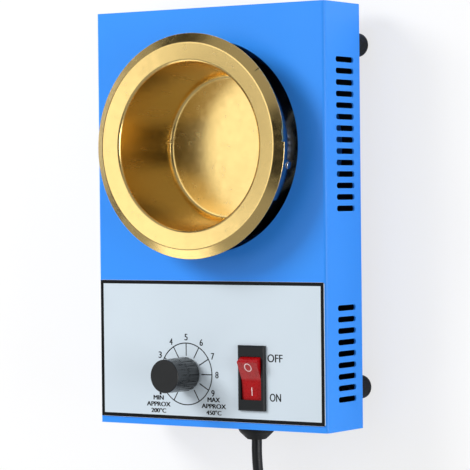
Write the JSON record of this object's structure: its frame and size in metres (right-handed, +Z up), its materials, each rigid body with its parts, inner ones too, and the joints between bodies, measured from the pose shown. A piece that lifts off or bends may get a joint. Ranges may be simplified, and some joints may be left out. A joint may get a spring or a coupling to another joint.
{
  "type": "solder pot",
  "caption": "Bench solder pot: a round gold-coated crucible with a wide flange in a low blue folded-steel case, with a dial, a rocker switch, rubber feet and a mains lead.",
  "frame": {"origin": "middle of the case at the level of the feet, measured without the mains lead and its gland", "axes": "+X across the case, +Y from the mains lead end towards the crucible end, +Z up from the bench, along the crucible's axis"},
  "size_m": [0.1334, 0.409, 0.063],
  "materials": {
    "blue_paint": "blue satin powder coat on folded steel sheet",
    "panel_print": "pale blue-grey printed label with a black border and a plain dial scale",
    "gold_coating": "gold-coloured coating on a drawn pot, satin inside, brighter on the flange",
    "polished_steel": "polished rolled steel",
    "zinc_steel": "zinc-plated steel",
    "mica": "mica sheet",
    "ceramic_wool": "pressed ceramic fibre",
    "knob_plastic": "dark moulded knob with a matt cap",
    "black_plastic": "black moulded plastic",
    "red_plastic": "clear red moulded plastic",
    "brass": "brass",
    "board_laminate": "green circuit board laminate",
    "aluminium": "extruded aluminium",
    "capacitor_plastic": "dipped plastic",
    "copper_wire": "enamelled copper winding",
    "green_plastic": "green moulded plastic",
    "wire_grey": "grey wire insulation",
    "wire_brown": "brown and blue wire insulation",
    "wire_green": "green and yellow wire insulation",
    "sleeving": "woven glass-fibre sleeving",
    "black_rubber": "black rubber",
    "cord_pvc": "black flexible sheath",
    "plug_metal": "nickel-plated blades"
  },
  "bodies": {
    "case": {"cover": "blue_paint", "base_tray": "blue_paint", "control_panel": "panel_print", "feet": "black_rubber", "foot_screws": "zinc_steel", "foot_nuts": "zinc_steel", "crucible": "gold_coating", "pot_band": "polished_steel", "band_rivets": "polished_steel", "pot_pan": "zinc_steel", "heater_band": "mica", "heater_clamp": "zinc_steel", "insulation_sleeve": "ceramic_wool", "insulation_disc": "ceramic_wool", "pot_spacers": "zinc_steel", "pot_screws": "zinc_steel", "dial_control": "zinc_steel", "dial_washer": "zinc_steel", "dial_nut": "zinc_steel", "switch_body": "black_plastic", "switch_terminals": "brass", "circuit_board": "board_laminate", "board_spacers": "zinc_steel", "board_screws": "zinc_steel", "triac": "black_plastic", "heat_sink": "aluminium", "film_capacitors": "capacitor_plastic", "choke": "copper_wire", "terminal_block": "green_plastic", "dial_wires": "wire_grey", "heater_leads": "sleeving", "mains_wires": "wire_brown", "earth_wire": "wire_green", "earth_screw": "brass", "cord_gland": "black_rubber", "gland_nut": "black_plastic", "power_cord": "cord_pvc", "cord_coil": "cord_pvc", "cord_end": "cord_pvc", "plug_body": "cord_pvc", "plug_pins": "plug_metal"},
    "dial": {"knob": "knob_plastic", "dial_shaft": "zinc_steel"},
    "switch_rocker": {"rocker": "red_plastic"}
  },
  "joints": [
    {"name": "dial_turn", "type": "hinge", "parent": "case", "child": "dial", "pos_m": [-0.0138, -0.0763, 0.044], "axis": [0, 0, -1], "range_deg": [0, 300]},
    {"name": "rocker_tip", "type": "hinge", "parent": "case", "child": "switch_rocker", "pos_m": [0.0249, -0.0771, 0.0419], "axis": [1, 0, 0], "range_deg": [-30, 0]}
  ]
}
